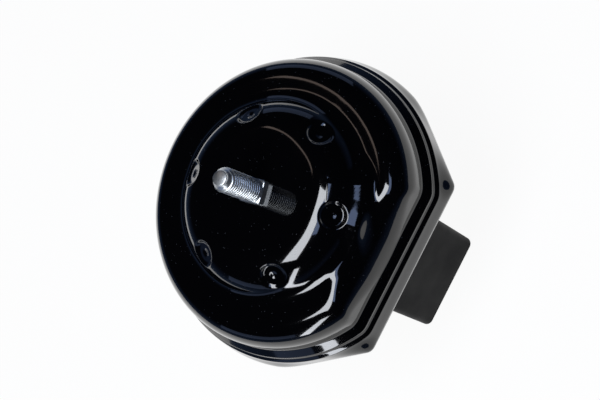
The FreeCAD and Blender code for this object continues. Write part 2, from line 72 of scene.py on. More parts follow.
class Slot(Enum):
    """The record's material slots, named on the rebuilt pieces; their finishes come from their own finish
    fields.
    """

    BLACK_PAINT = "black_paint"
    COVER_PAINT = "cover_paint"
    ZINC_STEEL = "zinc_steel"
    BARE_STEEL = "bare_steel"
    INSERT_STEEL = "insert_steel"
    CAST_ALUMINIUM = "cast_aluminium"
    SOFT_RUBBER = "soft_rubber"
    SPRING_RUBBER = "spring_rubber"
    JACKET_RUBBER = "jacket_rubber"


# ---------------------------------------------------------------- fields and grids


def round_max(a: np.ndarray, b: np.ndarray, radius: float, turn: float = math.pi / 2) -> np.ndarray:
    """Two signed distances' common part, its outer edge an arc.

    With the arc's centre one radius inside both surfaces, a point that lies between the two
    surfaces' normals is measured from that centre, and any other point takes the larger distance.

    Args:
        a: First signed distance, negative inside.
        b: Second signed distance.
        radius: Radius of the edge.
        turn: Angle between the two surfaces' normals.

    Returns:
        The signed distance of the common part.
    """
    u, v = a + radius, b + radius
    cosine = math.cos(turn)
    from_centre = np.sqrt(np.maximum(u * u + v * v - 2 * u * v * cosine, 0.0)) / math.sin(turn)
    between = (u > v * cosine) & (v > u * cosine)
    return np.where(between, from_centre, np.maximum(u, v)) - radius


def round_min(a: np.ndarray, b: np.ndarray, radius: float, turn: float = math.pi / 2) -> np.ndarray:
    """Two signed distances' union, its inner corner an arc: the mirror image of round_max.

    Args:
        a: First signed distance, negative inside.
        b: Second signed distance.
        radius: Radius of the fillet.
        turn: Angle between the two surfaces' normals.

    Returns:
        The signed distance of the union.
    """
    return -round_max(-a, -b, radius, turn)


def smooth_step(x: np.ndarray, start: float, end: float) -> np.ndarray:
    """0 before start, 1 after end, and 3t^2 - 2t^3 between them."""
    t = np.clip((x - start) / (end - start), 0.0, 1.0)
    return t * t * (3.0 - 2.0 * t)


def grid_mesh(name: str, rows: np.ndarray, start_pole: bool, end_pole: bool) -> bpy.types.Object:
    """A surface of rings made into a mesh object.

    Each row is a ring of points that closes on itself; neighbouring rings are joined by quads, and
    a pole closes an end with a fan round the ring's middle.

    Args:
        name: The object's name.
        rows: Points as an array of rings by points by 3, ordered so that faces point outwards.
        start_pole: Closes the first ring with a fan.
        end_pole: Closes the last ring with a fan.

    Returns:
        The new object, linked to the scene.
    """
    count, around = rows.shape[:2]
    points = [rows.reshape(-1, 3)]
    ring = np.arange(around)
    nxt = (ring + 1) % around
    base = (np.arange(count - 1) * around)[:, None]
    quads = np.stack([base + ring, base + around + ring, base + around + nxt, base + nxt], -1).reshape(-1, 4)
    faces = quads.tolist()
    total = count * around
    if start_pole:
        points.append(rows[0].mean(0)[None])
        faces += np.stack([np.full(around, total), ring, nxt], -1).tolist()
        total += 1
    if end_pole:
        points.append(rows[-1].mean(0)[None])
        last = (count - 1) * around
        faces += np.stack([np.full(around, total), last + nxt, last + ring], -1).tolist()
    mesh = bpy.data.meshes.new(name)
    mesh.from_pydata(np.concatenate(points), [], faces)
    mesh.shade_smooth()
    mesh.update()
    made = bpy.data.objects.new(name, mesh)
    bpy.context.scene.collection.objects.link(made)
    return made


# ---------------------------------------------------------------- finishes


def linear(hex_colour: str) -> tuple[float, float, float, float]:
    """An sRGB hex colour as linear red, green, blue and a full alpha."""
    values = [int(hex_colour[i:i + 2], 16) / 255.0 for i in (1, 3, 5)]
    red, green, blue = (v / 12.92 if v <= 0.04045 else ((v + 0.055) / 1.055) ** 2.4 for v in values)
    return red, green, blue, 1.0


def add_node(tree: bpy.types.NodeTree, kind: str, settings: dict | None = None,
             values: dict | None = None, links: dict | None = None) -> bpy.types.Node:
    """Adds a node with its settings, socket values and incoming links.

    Args:
        tree: The node tree.
        kind: The node's type name.
        settings: Properties of the node itself.
        values: Constants by input socket.
        links: Output sockets by the input socket that they feed.

    Returns:
        The new node.
    """
    node = tree.nodes.new(kind)
    for key, value in (settings or {}).items():
        setattr(node, key, value)
    for key, value in (values or {}).items():
        node.inputs[key].default_value = value
    for key, value in (links or {}).items():
        tree.links.new(value, node.inputs[key])
    return node


def ramp(tree: bpy.types.NodeTree, fac: bpy.types.NodeSocket,
         stops: list[tuple[float, tuple[float, float, float, float]]]) -> bpy.types.NodeSocket:
    """A colour ramp over a value.

    Args:
        tree: The node tree.
        fac: The value that drives it.
        stops: Position and colour of each stop.

    Returns:
        The ramp's colour.
    """
    node = add_node(tree, "ShaderNodeValToRGB", links={"Fac": fac})
    elements = node.color_ramp.elements
    elements[0].position, elements[0].color = stops[0]
    elements[1].position, elements[1].color = stops[-1]
    for position, colour in stops[1:-1]:
        elements.new(position).color = colour
    return node.outputs["Color"]


def grey(value: float) -> tuple[float, float, float, float]:
    """A neutral linear colour of one value."""
    return value, value, value, 1.0


# The part of a noise texture's range that a finish spreads over its own range.
NOISE_SPAN = {"From Min": 0.3, "From Max": 0.7}


@dataclass(frozen=True)
class GlossPaint:
    """Black cathodic dip paint on pressed steel.

    It gives the eye a smooth wet gloss, a little orange peel and scattered dust specks, which are
    drawn coarser than real dust so that they show.
    """

    name: str
    colour: str = "#020203"
    dust: str = "#565a62"
    roughness: float = 0.09
    ior: float = 1.55
    specular: float = 0.1
    coat_ior: float = 1.5
    coat_roughness: float = 0.05
    speck_mm: float = 0.75
    speck_share: float = 0.06
    speck_rim: tuple[float, float] = (0.10, 0.22)
    speck_strength: float = 0.55
    speck_rise: float = 0.03
    peel_mm: float = 3.0
    peel_depth: float = 0.02
    cloud_mm: float = 18.0

    def build(self) -> bpy.types.Material:
        """Makes the paint: orange-peel bump, dust specks in colour and roughness, a broad gloss change."""
        material = bpy.data.materials.new(self.name)
        material.use_nodes = True
        tree = material.node_tree
        tree.nodes.clear()
        place = add_node(tree, "ShaderNodeTexCoord").outputs["Object"]
        broad = add_node(tree, "ShaderNodeTexNoise",
                         values={"Scale": 1.0 / (self.cloud_mm * MM), "Detail": 3.0},
                         links={"Vector": place}).outputs["Fac"]
        cells = add_node(tree, "ShaderNodeTexVoronoi", {"feature": "F1"},
                         {"Scale": 1.0 / (self.speck_mm * MM)}, {"Vector": place})
        chance = add_node(tree, "ShaderNodeSeparateColor", links={"Color": cells.outputs["Color"]})
        core, rim = self.speck_rim
        near = add_node(tree, "ShaderNodeMapRange", {},
                        {"From Min": core, "From Max": rim, "To Min": 1.0, "To Max": 0.0},
                        {"Value": cells.outputs["Distance"]}).outputs["Result"]
        chosen = add_node(tree, "ShaderNodeMath", {"operation": "LESS_THAN"}, {1: self.speck_share},
                          {0: chance.outputs["Red"]}).outputs["Value"]
        speck = add_node(tree, "ShaderNodeMath", {"operation": "MULTIPLY"},
                         links={0: near, 1: chosen}).outputs["Value"]
        faint = add_node(tree, "ShaderNodeMath", {"operation": "MULTIPLY"}, {1: self.speck_strength},
                         {0: speck}).outputs["Value"]
        colour = add_node(tree, "ShaderNodeMix", {"data_type": "RGBA"},
                          {6: linear(self.colour), 7: linear(self.dust)}, {0: faint}).outputs[2]
        rough = add_node(tree, "ShaderNodeMapRange", {},
                         {**NOISE_SPAN, "To Min": self.roughness * 0.7, "To Max": self.roughness * 1.4},
                         {"Value": broad}).outputs["Result"]
        rougher = add_node(tree, "ShaderNodeMath", {"operation": "ADD"},
                           links={0: rough, 1: faint}).outputs["Value"]
        peel = add_node(tree, "ShaderNodeTexNoise",
                        values={"Scale": 1.0 / (self.peel_mm * MM), "Detail": 2.0},
                        links={"Vector": place}).outputs["Fac"]
        bump = add_node(tree, "ShaderNodeBump", {}, {"Strength": 0.12, "Distance": self.peel_depth * MM},
                        {"Height": peel}).outputs["Normal"]
        lifted = add_node(tree, "ShaderNodeBump", {}, {"Strength": 0.5, "Distance": self.speck_rise * MM},
                          {"Height": speck, "Normal": bump}).outputs["Normal"]
        shader = add_node(tree, "ShaderNodeBsdfPrincipled", {},
                          {"IOR": self.ior, "Specular IOR Level": self.specular, "Coat Weight": 1.0,
                           "Coat Roughness": self.coat_roughness, "Coat IOR": self.coat_ior},
                          {"Base Color": colour, "Roughness": rougher, "Normal": lifted})
        add_node(tree, "ShaderNodeOutputMaterial", links={"Surface": shader.outputs["BSDF"]})
        return material


@dataclass(frozen=True)
class WornMetal:
    """Bare or plated metal: a metallic base with cloudy colour, fine grain and uneven roughness."""

    name: str
    dark: str
    light: str
    roughness: float
    cloud_mm: float = 6.0
    grain_mm: float = 0.5
    grain_depth: float = 0.02

    def build(self) -> bpy.types.Material:
        """Makes the metal from a cloudy noise for colour and a finer one for roughness and bump."""
        material = bpy.data.materials.new(self.name)
        material.use_nodes = True
        tree = material.node_tree
        tree.nodes.clear()
        place = add_node(tree, "ShaderNodeTexCoord").outputs["Object"]
        cloud = add_node(tree, "ShaderNodeTexNoise",
                         values={"Scale": 1.0 / (self.cloud_mm * MM), "Detail": 4.0},
                         links={"Vector": place}).outputs["Fac"]
        grain = add_node(tree, "ShaderNodeTexNoise",
                         values={"Scale": 1.0 / (self.grain_mm * MM), "Detail": 2.0},
                         links={"Vector": place}).outputs["Fac"]
        colour = ramp(tree, cloud, [(0.35, linear(self.dark)), (0.65, linear(self.light))])
        rough = add_node(tree, "ShaderNodeMapRange", {},
                         {**NOISE_SPAN, "To Min": self.roughness * 0.8, "To Max": self.roughness * 1.25},
                         {"Value": grain}).outputs["Result"]
        bump = add_node(tree, "ShaderNodeBump", {}, {"Strength": 0.3, "Distance": self.grain_depth * MM},
                        {"Height": grain}).outputs["Normal"]
        shader = add_node(tree, "ShaderNodeBsdfPrincipled", {}, {"Metallic": 1.0},
                          {"Base Color": colour, "Roughness": rough, "Normal": bump})
        add_node(tree, "ShaderNodeOutputMaterial", links={"Surface": shader.outputs["BSDF"]})
        return material


@dataclass(frozen=True)
class MouldedRubber:
    """Moulded natural rubber: matt, nearly black, with a fine pebble and a greyish bloom."""

    name: str
    colour: str = "#0b0c0f"
    bloom: str = "#17191e"
    roughness: float = 0.55
    pebble_mm: float = 0.7
    pebble_depth: float = 0.03
    bloom_mm: float = 14.0
    ior: float = 1.42
    specular: float = 0.1

    def build(self) -> bpy.types.Material:
        """Makes the rubber from a broad bloom in colour and roughness and a fine pebble in the bump."""
        material = bpy.data.materials.new(self.name)
        material.use_nodes = True
        tree = material.node_tree
        tree.nodes.clear()
        place = add_node(tree, "ShaderNodeTexCoord").outputs["Object"]
        bloom = add_node(tree, "ShaderNodeTexNoise",
                         values={"Scale": 1.0 / (self.bloom_mm * MM), "Detail": 5.0},
                         links={"Vector": place}).outputs["Fac"]
        pebble = add_node(tree, "ShaderNodeTexNoise",
                          values={"Scale": 1.0 / (self.pebble_mm * MM), "Detail": 2.0},
                          links={"Vector": place}).outputs["Fac"]
        colour = ramp(tree, bloom, [(0.35, linear(self.colour)), (0.7, linear(self.bloom))])
        rough = add_node(tree, "ShaderNodeMapRange", {},
                         {**NOISE_SPAN, "To Min": self.roughness * 0.85, "To Max": self.roughness * 1.15},
                         {"Value": bloom}).outputs["Result"]
        bump = add_node(tree, "ShaderNodeBump", {}, {"Strength": 0.5, "Distance": self.pebble_depth * MM},
                        {"Height": pebble}).outputs["Normal"]
        shader = add_node(tree, "ShaderNodeBsdfPrincipled", {},
                          {"IOR": self.ior, "Specular IOR Level": self.specular},
                          {"Base Color": colour, "Roughness": rough, "Normal": bump})
        add_node(tree, "ShaderNodeOutputMaterial", links={"Surface": shader.outputs["BSDF"]})
        return material


# ---------------------------------------------------------------- the pressed cup


@dataclass
class PressedCup:
    """The pressed, painted steel cup: dome, groove, round rim, stepped walls and the crimped lip.

    Its outer skin is the zero surface of one signed-distance field, found along rays that fan out
    from a point low on the axis. Heights are measured from the cup's own top and lower edge. The
    skirt is a raised patch on the dome's front slope, between two bearings from the long flat.
    """

    top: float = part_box("dome_cup")[1].z
    foot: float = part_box("dome_cup")[0].z
    dome_rise: float = 22.5 * MM
    plateau_r: float = 24.5 * MM
    plateau_round: float = 16.5 * MM
    slope: float = math.radians(62)
    skirt_r: float = 44.5 * MM
    skirt_inner: float = 32 * MM
    skirt_proud: float = 2.2 * MM
    skirt_slope: float = math.radians(27)
    skirt_start: tuple[float, float] = (math.radians(-9), math.radians(9))
    skirt_end: tuple[float, float] = (math.radians(30), math.radians(50))
    skirt_sink: float = 5 * MM
    skirt_edge: float = 2 * MM
    skirt_fillet: float = 1.5 * MM
    groove_round: float = 3.5 * MM
    rim_r: float = 47.9 * MM
    rim_out: float = 11.2 * MM
    wall_flat: float = 51.5 * MM
    flat_round: float = 9 * MM
    flat_swell: float = 8 * MM
    flat_swell_x: tuple[float, float] = (6 * MM, 27 * MM)
    corner: float = 8 * MM
    ledge_drop: float = 6.5 * MM
    ledge_out: float = 2.8 * MM
    ledge_round: float = 0.3 * MM
    lip_drop: float = 10.8 * MM
    lip_r: float = 63.3 * MM
    lip_flat: float = 55.7 * MM
    lip_round: float = 0.4 * MM
    foot_r: float = 64.8 * MM
    foot_flat: float = 56.2 * MM
    side_flat: float = 63.1 * MM
    side_angle: float = math.radians(53)
    ear_corner: float = 4.5 * MM
    step_lean: float = math.radians(48)
    fillet: float = 0.25 * MM
    sheet: float = 2 * MM
    hook: float = 5 * MM
    dimples: int = 6
    dimple_start: float = math.radians(40)
    dimple_r: float = 34.5 * MM
    dimple_half: float = 5.3 * MM
    dimple_depth: float = 1.9 * MM
    dimple_nose: float = 1.5 * MM
    dimple_edge: float = 0.8 * MM
    dimple_sink: float = 0.45 * MM
    dimple_spread: float = 8 * MM
    pit_ball: float = 2.4 * MM
    pit_depth: float = 0.45 * MM
    fan_z: float = 20 * MM
    around: int = 540
    rows: int = 150
    first_tilt: float = math.radians(1)
    turning_weight: float = 0.9
    inner_rows: int = 20
    slot: Slot = Slot.BLACK_PAINT
    finish: GlossPaint = field(default_factory=lambda: GlossPaint("cathodic_dip_paint_gloss_black"))

    def __post_init__(self) -> None:
        """Works out the heights that depend on the top: the rim's centre, its crest and the ledges."""
        self.rim_z = self.top - self.dome_rise
        self.crest = self.rim_z + self.rim_out
        self.wall_r = self.rim_r + self.rim_out

    def outline(self, across: np.ndarray, forward: np.ndarray, radius: float, flat: float) -> np.ndarray:
        """A circle with one flat: the common part of a disc and a half plane, its corners eased.

        Args:
            across: Distance from the axis.
            forward: Distance from the axis towards the flat.
            radius: The circle's radius.
            flat: The flat's distance from the axis.

        Returns:
            The signed distance from the outline.
        """
        return round_max(across - radius, forward - flat, self.corner, math.acos(flat / radius))

    def foot_outline(self, across: np.ndarray, forward: np.ndarray, turn: np.ndarray) -> np.ndarray:
        """The lip's lower outline: a circle or, between the side flats, the front flat, and cropped
        corners where the side flats meet them.

        Args:
            across: Distance from the axis.
            forward: Distance from the axis towards the front flat.
            turn: Angle from the front flat's middle, without sign.

        Returns:
            The signed distance from the outline.
        """
        side = across * np.cos(turn - self.side_angle) - self.side_flat
        between = np.where(turn < self.side_angle, forward - self.foot_flat, across - self.foot_r)
        return round_max(between, side, self.ear_corner, self.side_angle)

    def skin(self, across: np.ndarray, height: np.ndarray, angle: np.ndarray) -> np.ndarray:
        """The cup's outer body as a signed distance: dome, rim, ledge and lip, less the dimples.

        The bearing is the azimuth from the long flat's middle towards +X. The skirt is a cone that
        sinks away outside its two bearings. The flat's rounding swells towards the flat's middle.

        Args:
            across: Distance from the axis.
            height: Height in the row frame.
            angle: Azimuth about the axis.

        Returns:
            The signed distance, negative inside.
        """
        x, y = across * np.cos(angle), across * np.sin(angle)
        forward = -y
        turn = np.abs(np.arctan2(x, forward))
        edge_r = self.plateau_r + self.plateau_round * math.tan(self.slope / 2)
        side = (across - edge_r) * math.sin(self.slope) + (height - self.top) * math.cos(self.slope)
        dome = round_max(height - self.top, side, self.plateau_round, self.slope)
        bearing = np.arctan2(x, forward)
        here = smooth_step(bearing, *self.skirt_start) * (1 - smooth_step(bearing, *self.skirt_end))
        rise = height - self.crest - self.skirt_proud
        skirt = (across - self.skirt_r) * math.sin(self.skirt_slope) + rise * math.cos(self.skirt_slope)
        skirt = round_max(skirt + self.skirt_sink * (1 - here), across - self.skirt_r, self.skirt_edge)
        skirt = np.maximum(skirt, self.skirt_inner - across)
        dome = round_min(dome, skirt, self.skirt_fillet)
        dome = np.maximum(dome, forward - self.wall_flat)
        past = np.maximum(across - self.rim_r, 0.0)
        ring = np.hypot(past, np.maximum(height - self.rim_z, 0.0)) - self.rim_out
        flat_round = self.flat_round + self.flat_swell * (1 - smooth_step(np.abs(x), *self.flat_swell_x))
        flat = round_max(forward - self.wall_flat, height - self.crest, flat_round)
        ring = round_max(ring, flat, self.corner, math.acos(self.wall_flat / self.wall_r))
        body = round_min(dome, ring, self.groove_round)
        for k in range(self.dimples):
            body = self.dimple(body, x, y, height, self.dimple_start + k * math.tau / self.dimples)
        ledge = self.outline(across, forward, self.wall_r + self.ledge_out, self.wall_flat + self.ledge_out)
        ledge = self.step(ledge, height - self.rim_z + self.ledge_drop, self.ledge_out, self.ledge_round)
        body = round_min(body, ledge, self.fillet)
        upper = self.outline(across, forward, self.lip_r, self.lip_flat)
        lower = self.foot_outline(across, forward, turn)
        level = self.rim_z - self.lip_drop
        lean = smooth_step(-height, -level, -self.foot - self.lip_round)
        lip = upper + (lower - upper) * lean
        lip = self.step(lip, height - level, self.lip_r - self.wall_r - self.ledge_out, self.lip_round)
        return round_min(body, lip, self.fillet)

    def step(self, outside: np.ndarray, over: np.ndarray, width: float, radius: float) -> np.ndarray:
        """A step's body: its top leans outwards near the side and meets it in a round edge.

        Args:
            outside: Signed distance from the step's side.
            over: Height over the step's middle.
            width: Width of its top.
            radius: Radius of the edge.

        Returns:
            The signed distance of the step.
        """
        lean = self.step_lean
        top = over * math.cos(lean) + (np.maximum(outside, -2 * width) + width / 2) * math.sin(lean)
        return round_max(outside, top, radius, math.pi / 2 - lean)

    def dimple(self, body: np.ndarray, x: np.ndarray, y: np.ndarray, height: np.ndarray,
               angle: float) -> np.ndarray:
        """Presses one round dimple into the plateau's shoulder with a flat-nosed punch and a centre mark.

        The punch is a round bar on the shoulder's normal: across it is the distance from that line,
        and along it is the distance from its nose. A small ball under the nose leaves the centre mark.

        Args:
            body: The signed distance to press it into.
            x: Point's X.
            y: Point's Y.
            height: Point's height.
            angle: The dimple's azimuth.

        Returns:
            The dimpled signed distance.
        """
        tip = math.asin((self.dimple_r - self.plateau_r) / self.plateau_round)
        drop = self.plateau_round * (1 - math.cos(tip))
        outward = x * math.cos(angle) + y * math.sin(angle) - self.dimple_r
        sideways = y * math.cos(angle) - x * math.sin(angle)
        raised = height - self.top + drop
        along = outward * math.sin(tip) + raised * math.cos(tip) + self.dimple_depth
        slant = outward * math.cos(tip) - raised * math.sin(tip)
        across = np.hypot(sideways, slant)
        body = body + self.dimple_sink * np.exp(-(across / self.dimple_spread) ** 2)
        punch = round_max(across - self.dimple_half, -along, self.dimple_nose)
        mark = np.hypot(across, along - self.pit_ball + self.pit_depth) - self.pit_ball
        punch = round_min(punch, mark, self.dimple_edge / 2)
        return round_max(body, -punch, self.dimple_edge)

    def solve(self, tilt: np.ndarray, angle: np.ndarray) -> np.ndarray:
        """Finds the skin along rays from the fan's centre by halving an interval that holds it.

        Args:
            tilt: Each ray's angle from the vertical.
            angle: Each ray's azimuth.

        Returns:
            Each ray's length to the skin.
        """
        near, far = np.full(tilt.shape, 0.3 * self.top), np.full(tilt.shape, 1.2 * self.top)
        for _ in range(HALVINGS):
            middle = (near + far) / 2
            inside = self.skin(middle * np.sin(tilt), self.fan_z + middle * np.cos(tilt), angle) < 0
            near, far = np.where(inside, middle, near), np.where(inside, far, middle)
        return (near + far) / 2

    def end_tilt(self, angle: np.ndarray) -> np.ndarray:
        """The ray tilt that meets the lip's lower edge at each azimuth, by halving as in solve."""
        near, far = np.full(angle.shape, 0.5 * self.foot_r), np.full(angle.shape, 1.2 * self.foot_r)
        for _ in range(HALVINGS):
            middle = (near + far) / 2
            inside = self.skin(middle, np.full(angle.shape, self.foot), angle) < 0
            near, far = np.where(inside, middle, near), np.where(inside, far, middle)
        return np.arctan2(near, self.foot - self.fan_z)

    def crowd(self, tilt: np.ndarray, reach: np.ndarray) -> np.ndarray:
        """Moves the rows to where the section turns: equal shares of length plus turning in each column.

        Args:
            tilt: Evenly spread ray tilts, rows by columns.
            reach: The skin's distance along them.

        Returns:
            New ray tilts, rows by columns, with the same first and last row.
        """
        across, height = reach * np.sin(tilt), reach * np.cos(tilt)
        step = np.hypot(np.diff(across, axis=0), np.diff(height, axis=0))
        heading = np.unwrap(np.arctan2(np.diff(height, axis=0), np.diff(across, axis=0)), axis=0)
        turning = np.abs(np.gradient(heading, axis=0))
        share = step / step.sum(0) + self.turning_weight * turning / turning.sum(0)
        kernel = np.hanning(9) / np.hanning(9).sum()
        share = np.apply_along_axis(lambda s: np.convolve(s, kernel, "same"), 0, share) + 1e-4
        wrapped = np.concatenate([share[:, -4:], share, share[:, :4]], axis=1)
        share = sum(wrapped[:, i:i + share.shape[1]] for i in range(9)) / 9
        total = np.concatenate([np.zeros((1, share.shape[1])), np.cumsum(share, 0)]) / share.sum(0)
        wanted = np.linspace(0, 1, self.rows)
        return np.stack([np.interp(wanted, total[:, c], tilt[:, c]) for c in range(tilt.shape[1])], 1)

    def build(self) -> bpy.types.Object:
        """Makes the skin, the lip's turned-in edge and the inner side, and stands it for the CAD cup."""
        angle = np.arange(self.around) * math.tau / self.around
        last = self.end_tilt(angle)
        first = self.first_tilt
        spread = first + np.linspace(0, 1, 4 * self.rows)[:, None] * (last - first)[None]
        turns = np.broadcast_to(angle, spread.shape)
        tilt = self.crowd(spread, self.solve(spread, turns))
        turns = np.broadcast_to(angle, tilt.shape)
        reach = self.solve(tilt, turns)
        outer = self.points(reach, tilt, turns)
        kept = np.linspace(self.rows - 8, 2, self.inner_rows).astype(int)
        inner = self.points(reach[kept] - self.sheet, tilt[kept], turns[kept])
        edge = self.lip_edge(outer[-1])
        made = grid_mesh("PressedCup", np.concatenate([outer, edge, inner]), True, True)
        made.data.materials.append(self.finish.build())
        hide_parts("dome_cup")
        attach(made, ROOT)
        return made

    def points(self, reach: np.ndarray, tilt: np.ndarray, angle: np.ndarray) -> np.ndarray:
        """The rays' ends as points: length along a direction given by tilt and azimuth."""
        across = reach * np.sin(tilt)
        height = self.fan_z + reach * np.cos(tilt)
        return np.stack([across * np.cos(angle), across * np.sin(angle), height], -1)

    def lip_edge(self, ring: np.ndarray) -> np.ndarray:
        """The lip's underside: rings shrunk towards the axis, then raised inside the turned-in edge."""
        size = np.hypot(ring[:, 0], ring[:, 1])
        rings = []
        for inwards, up in ((0.8 * MM, 0.0), (self.hook, 0.0), (self.hook + 0.4 * MM, 0.5 * MM),
                            (self.hook, 2 * MM), (4 * MM, 4 * MM)):
            scale = (size - inwards) / size
            moved = ring * np.stack([scale, scale, np.ones_like(scale)], -1)
            moved[:, 2] += up
            rings.append(moved)
        return np.array(rings)


# ---------------------------------------------------------------- the stud


@dataclass
class ThreadedStud:
    """The stud: a hidden head, a square neck, a rolled M10 thread and a turned pilot tip."""

    bottom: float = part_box("stud")[0].z
    tip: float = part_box("stud")[1].z
    deck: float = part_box("dome_cup")[1].z
    head_r: float = 12 * MM
    head_t: float = 4 * MM
    neck: float = 10 * MM
    neck_proud: float = 3.3 * MM
    neck_turn: float = math.radians(13.4)
    neck_power: float = 9.0
    pitch: float = 1.5 * MM
    major_r: float = 4.95 * MM
    thread_depth: float = 0.92 * MM
    flank: float = 1.8
    crest_share: float = 0.35
    pilot_r: float = 3.1 * MM
    pilot_l: float = 1.2 * MM
    cone_l: float = 2.6 * MM
    around: int = 96
    rows_per_turn: int = 14
    slot: Slot = Slot.ZINC_STEEL
    finish: WornMetal = field(default_factory=lambda: WornMetal(
        "bright_zinc_plated_steel", "#b4b8ba", "#d8dcde", 0.34, 5.0, 0.35, 0.004))

    def square(self, angle: np.ndarray, half: float) -> np.ndarray:
        """Radius of a rounded square: half over the p-norm of cosine and sine, p being neck_power."""
        turned = angle - self.neck_turn
        norm = (np.abs(np.cos(turned)) ** self.neck_power + np.abs(np.sin(turned)) ** self.neck_power)
        return half * norm ** (-1 / self.neck_power)

    def thread_radius(self, height: np.ndarray, angle: np.ndarray) -> np.ndarray:
        """Radius of the thread: crest less depth times a clipped triangle wave.

        The wave's phase is the height in pitches less the azimuth in turns, so the ridge is a
        right-handed helix. It fades out over one pitch at the neck, and the tip's cone and pilot
        cut it off.

        Args:
            height: Height in the row frame.
            angle: Azimuth about the axis.

        Returns:
            The radius.
        """
        phase = (height - self.deck) / self.pitch - angle / math.tau
        wave = np.abs(2 * (phase - np.floor(phase)) - 1)
        groove = np.clip(self.flank * wave - self.crest_share * self.flank, 0, 1)
        root = self.deck + self.neck_proud
        depth = self.thread_depth * smooth_step(height, root, root + 1.2 * self.pitch)
        radius = self.major_r - depth * groove
        cone_top = self.tip - self.pilot_l
        cone = self.pilot_r + (cone_top - height) * (self.major_r - self.pilot_r) / self.cone_l * 1.2
        return np.minimum(radius, np.maximum(cone, self.pilot_r))

    def build(self) -> bpy.types.Object:
        """Stacks the rings of head, neck, thread and tip and stands them for the CAD stud."""
        angle = np.arange(self.around) * math.tau / self.around
        ones = np.ones(self.around)
        half = self.neck / 2
        shoulder = self.deck + self.neck_proud
        rings = [(self.head_r * 0.96 * ones, self.bottom), (self.head_r * ones, self.bottom + 0.3 * MM),
                 (self.head_r * ones, self.bottom + self.head_t)]
        for size, level in ((half, self.bottom + self.head_t), (half, shoulder - 0.5 * MM),
                            (half - 0.12 * MM, shoulder - 0.15 * MM), (half - 0.45 * MM, shoulder)):
            rings.append((self.square(angle, size), level))
        count = int((self.tip - self.pilot_l - shoulder) / self.pitch * self.rows_per_turn)
        for level in np.linspace(shoulder, self.tip - self.pilot_l, count):
            rings.append((self.thread_radius(np.full(self.around, level), angle), level))
        for size, level in ((self.pilot_r, self.tip - 0.35 * MM),
                            (self.pilot_r - 0.1 * MM, self.tip - 0.1 * MM),
                            (self.pilot_r - 0.35 * MM, self.tip)):
            rings.append((size * ones, level))
        radius = np.array([ring[0] for ring in rings])
        level = np.array([ring[1] for ring in rings])[:, None] * ones
        points = np.stack([radius * np.cos(angle), radius * np.sin(angle), level], -1)
        made = grid_mesh("ThreadedStud", points[::-1], True, True)
        made.data.materials.append(self.finish.build())
        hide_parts("stud")
        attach(made, ROOT)
        return made


# ---------------------------------------------------------------- the CAD nodes that stay


@dataclass
class CarriedNodes:
    """The solids that are shown as they are, each with the finish of its real material."""

    # Rolled steel is grey and even, die-cast aluminium paler with a soft cloud, drawn aluminium the
    # brightest, sand-cast aluminium dull and grainy, and turned steel the smoothest. The sleeve's and
    # cover's paint is a little duller than the cup's, and the jacket is the blackest of the rubbers.
    finishes: dict[str, GlossPaint | WornMetal | MouldedRubber] = field(default_factory=lambda: {
        "backing_plate": WornMetal("rolled_mild_steel", "#6b6e72", "#8b8f94", 0.4),
        "diaphragm": MouldedRubber("bellows_rubber", roughness=0.5),
        "upper_channel_plate": WornMetal("die_cast_aluminium", "#8d9093", "#a9adb0", 0.42),
        "lower_channel_plate": WornMetal("die_cast_aluminium_lower", "#8d9093", "#a9adb0", 0.42),
        "decoupler": MouldedRubber("decoupler_rubber", roughness=0.5),
        "plate_rivets": WornMetal("drawn_aluminium", "#a2a5a8", "#c0c3c6", 0.3),
        "sleeve": GlossPaint("cathodic_dip_paint_sleeve", roughness=0.16),
        "stop_cover": GlossPaint("cathodic_dip_paint_cover", roughness=0.14),
        "main_spring": MouldedRubber("spring_rubber_black"),
        "core": WornMetal("sand_cast_aluminium", "#787c80", "#9a9ea2", 0.5, 9.0, 0.8, 0.06),
        "head_jacket": MouldedRubber("jacket_rubber_black", "#040507", "#07080b", 0.5, 0.6, 0.03),
        "thread_insert": WornMetal("turned_steel_insert", "#7c7f83", "#a4a8ac", 0.28),
    })

    def dress(self) -> None:
        """Gives each node its finish in place of the plain one it was imported with from model.glb."""
        for name, finish in self.finishes.items():
            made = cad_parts[name]
            made.data.materials.clear()
            made.data.materials.append(finish.build())
            made.data.shade_smooth()


# ---------------------------------------------------------------- studio


@dataclass
class SoftBox:
    """One studio lamp: a rectangle stretched between two directions as seen from the part.

    A direction is a compass bearing and an elevation in degrees. The lamp's radiance is what a
    mirror on the part would show of it, where 1 is white.
    """

    name: str
    start: tuple[float, float]
    end: tuple[float, float]
    width: float
    radiance: float
    colour: str = "#ffffff"
    distance: float = 0.9
    aim: tuple[float, float, float] = (0.0, 0.0, 0.095)

    def corner(self, bearing: float, elevation: float) -> Vector:
        """The point at the lamp's distance from the aim in one direction."""
        turn, rise = math.radians(bearing), math.radians(elevation)
        out = Vector((math.cos(rise) * math.cos(turn), math.cos(rise) * math.sin(turn), math.sin(rise)))
        return Vector(self.aim) + self.distance * out

    def build(self) -> bpy.types.Object:
        """Makes the lamp between its two ends, facing the aim; power is radiance by pi by area."""
        first, last = self.corner(*self.start), self.corner(*self.end)
        middle = (first + last) / 2
        out = (middle - Vector(self.aim)).normalized()
        along = last - first
        length = along.length
        along = (along - along.dot(out) * out).normalized()
        lamp = bpy.data.lights.new(self.name, "AREA")
        lamp.shape = "RECTANGLE"
        lamp.size, lamp.size_y = length, self.width
        lamp.energy = self.radiance * math.pi * length * self.width
        lamp.color = linear(self.colour)[:3]
        made = bpy.data.objects.new(self.name, lamp)
        turn = Matrix((along, out.cross(along), out)).transposed()
        made.matrix_world = Matrix.Translation(middle) @ turn.to_4x4()
        bpy.context.scene.collection.objects.link(made)
        return made


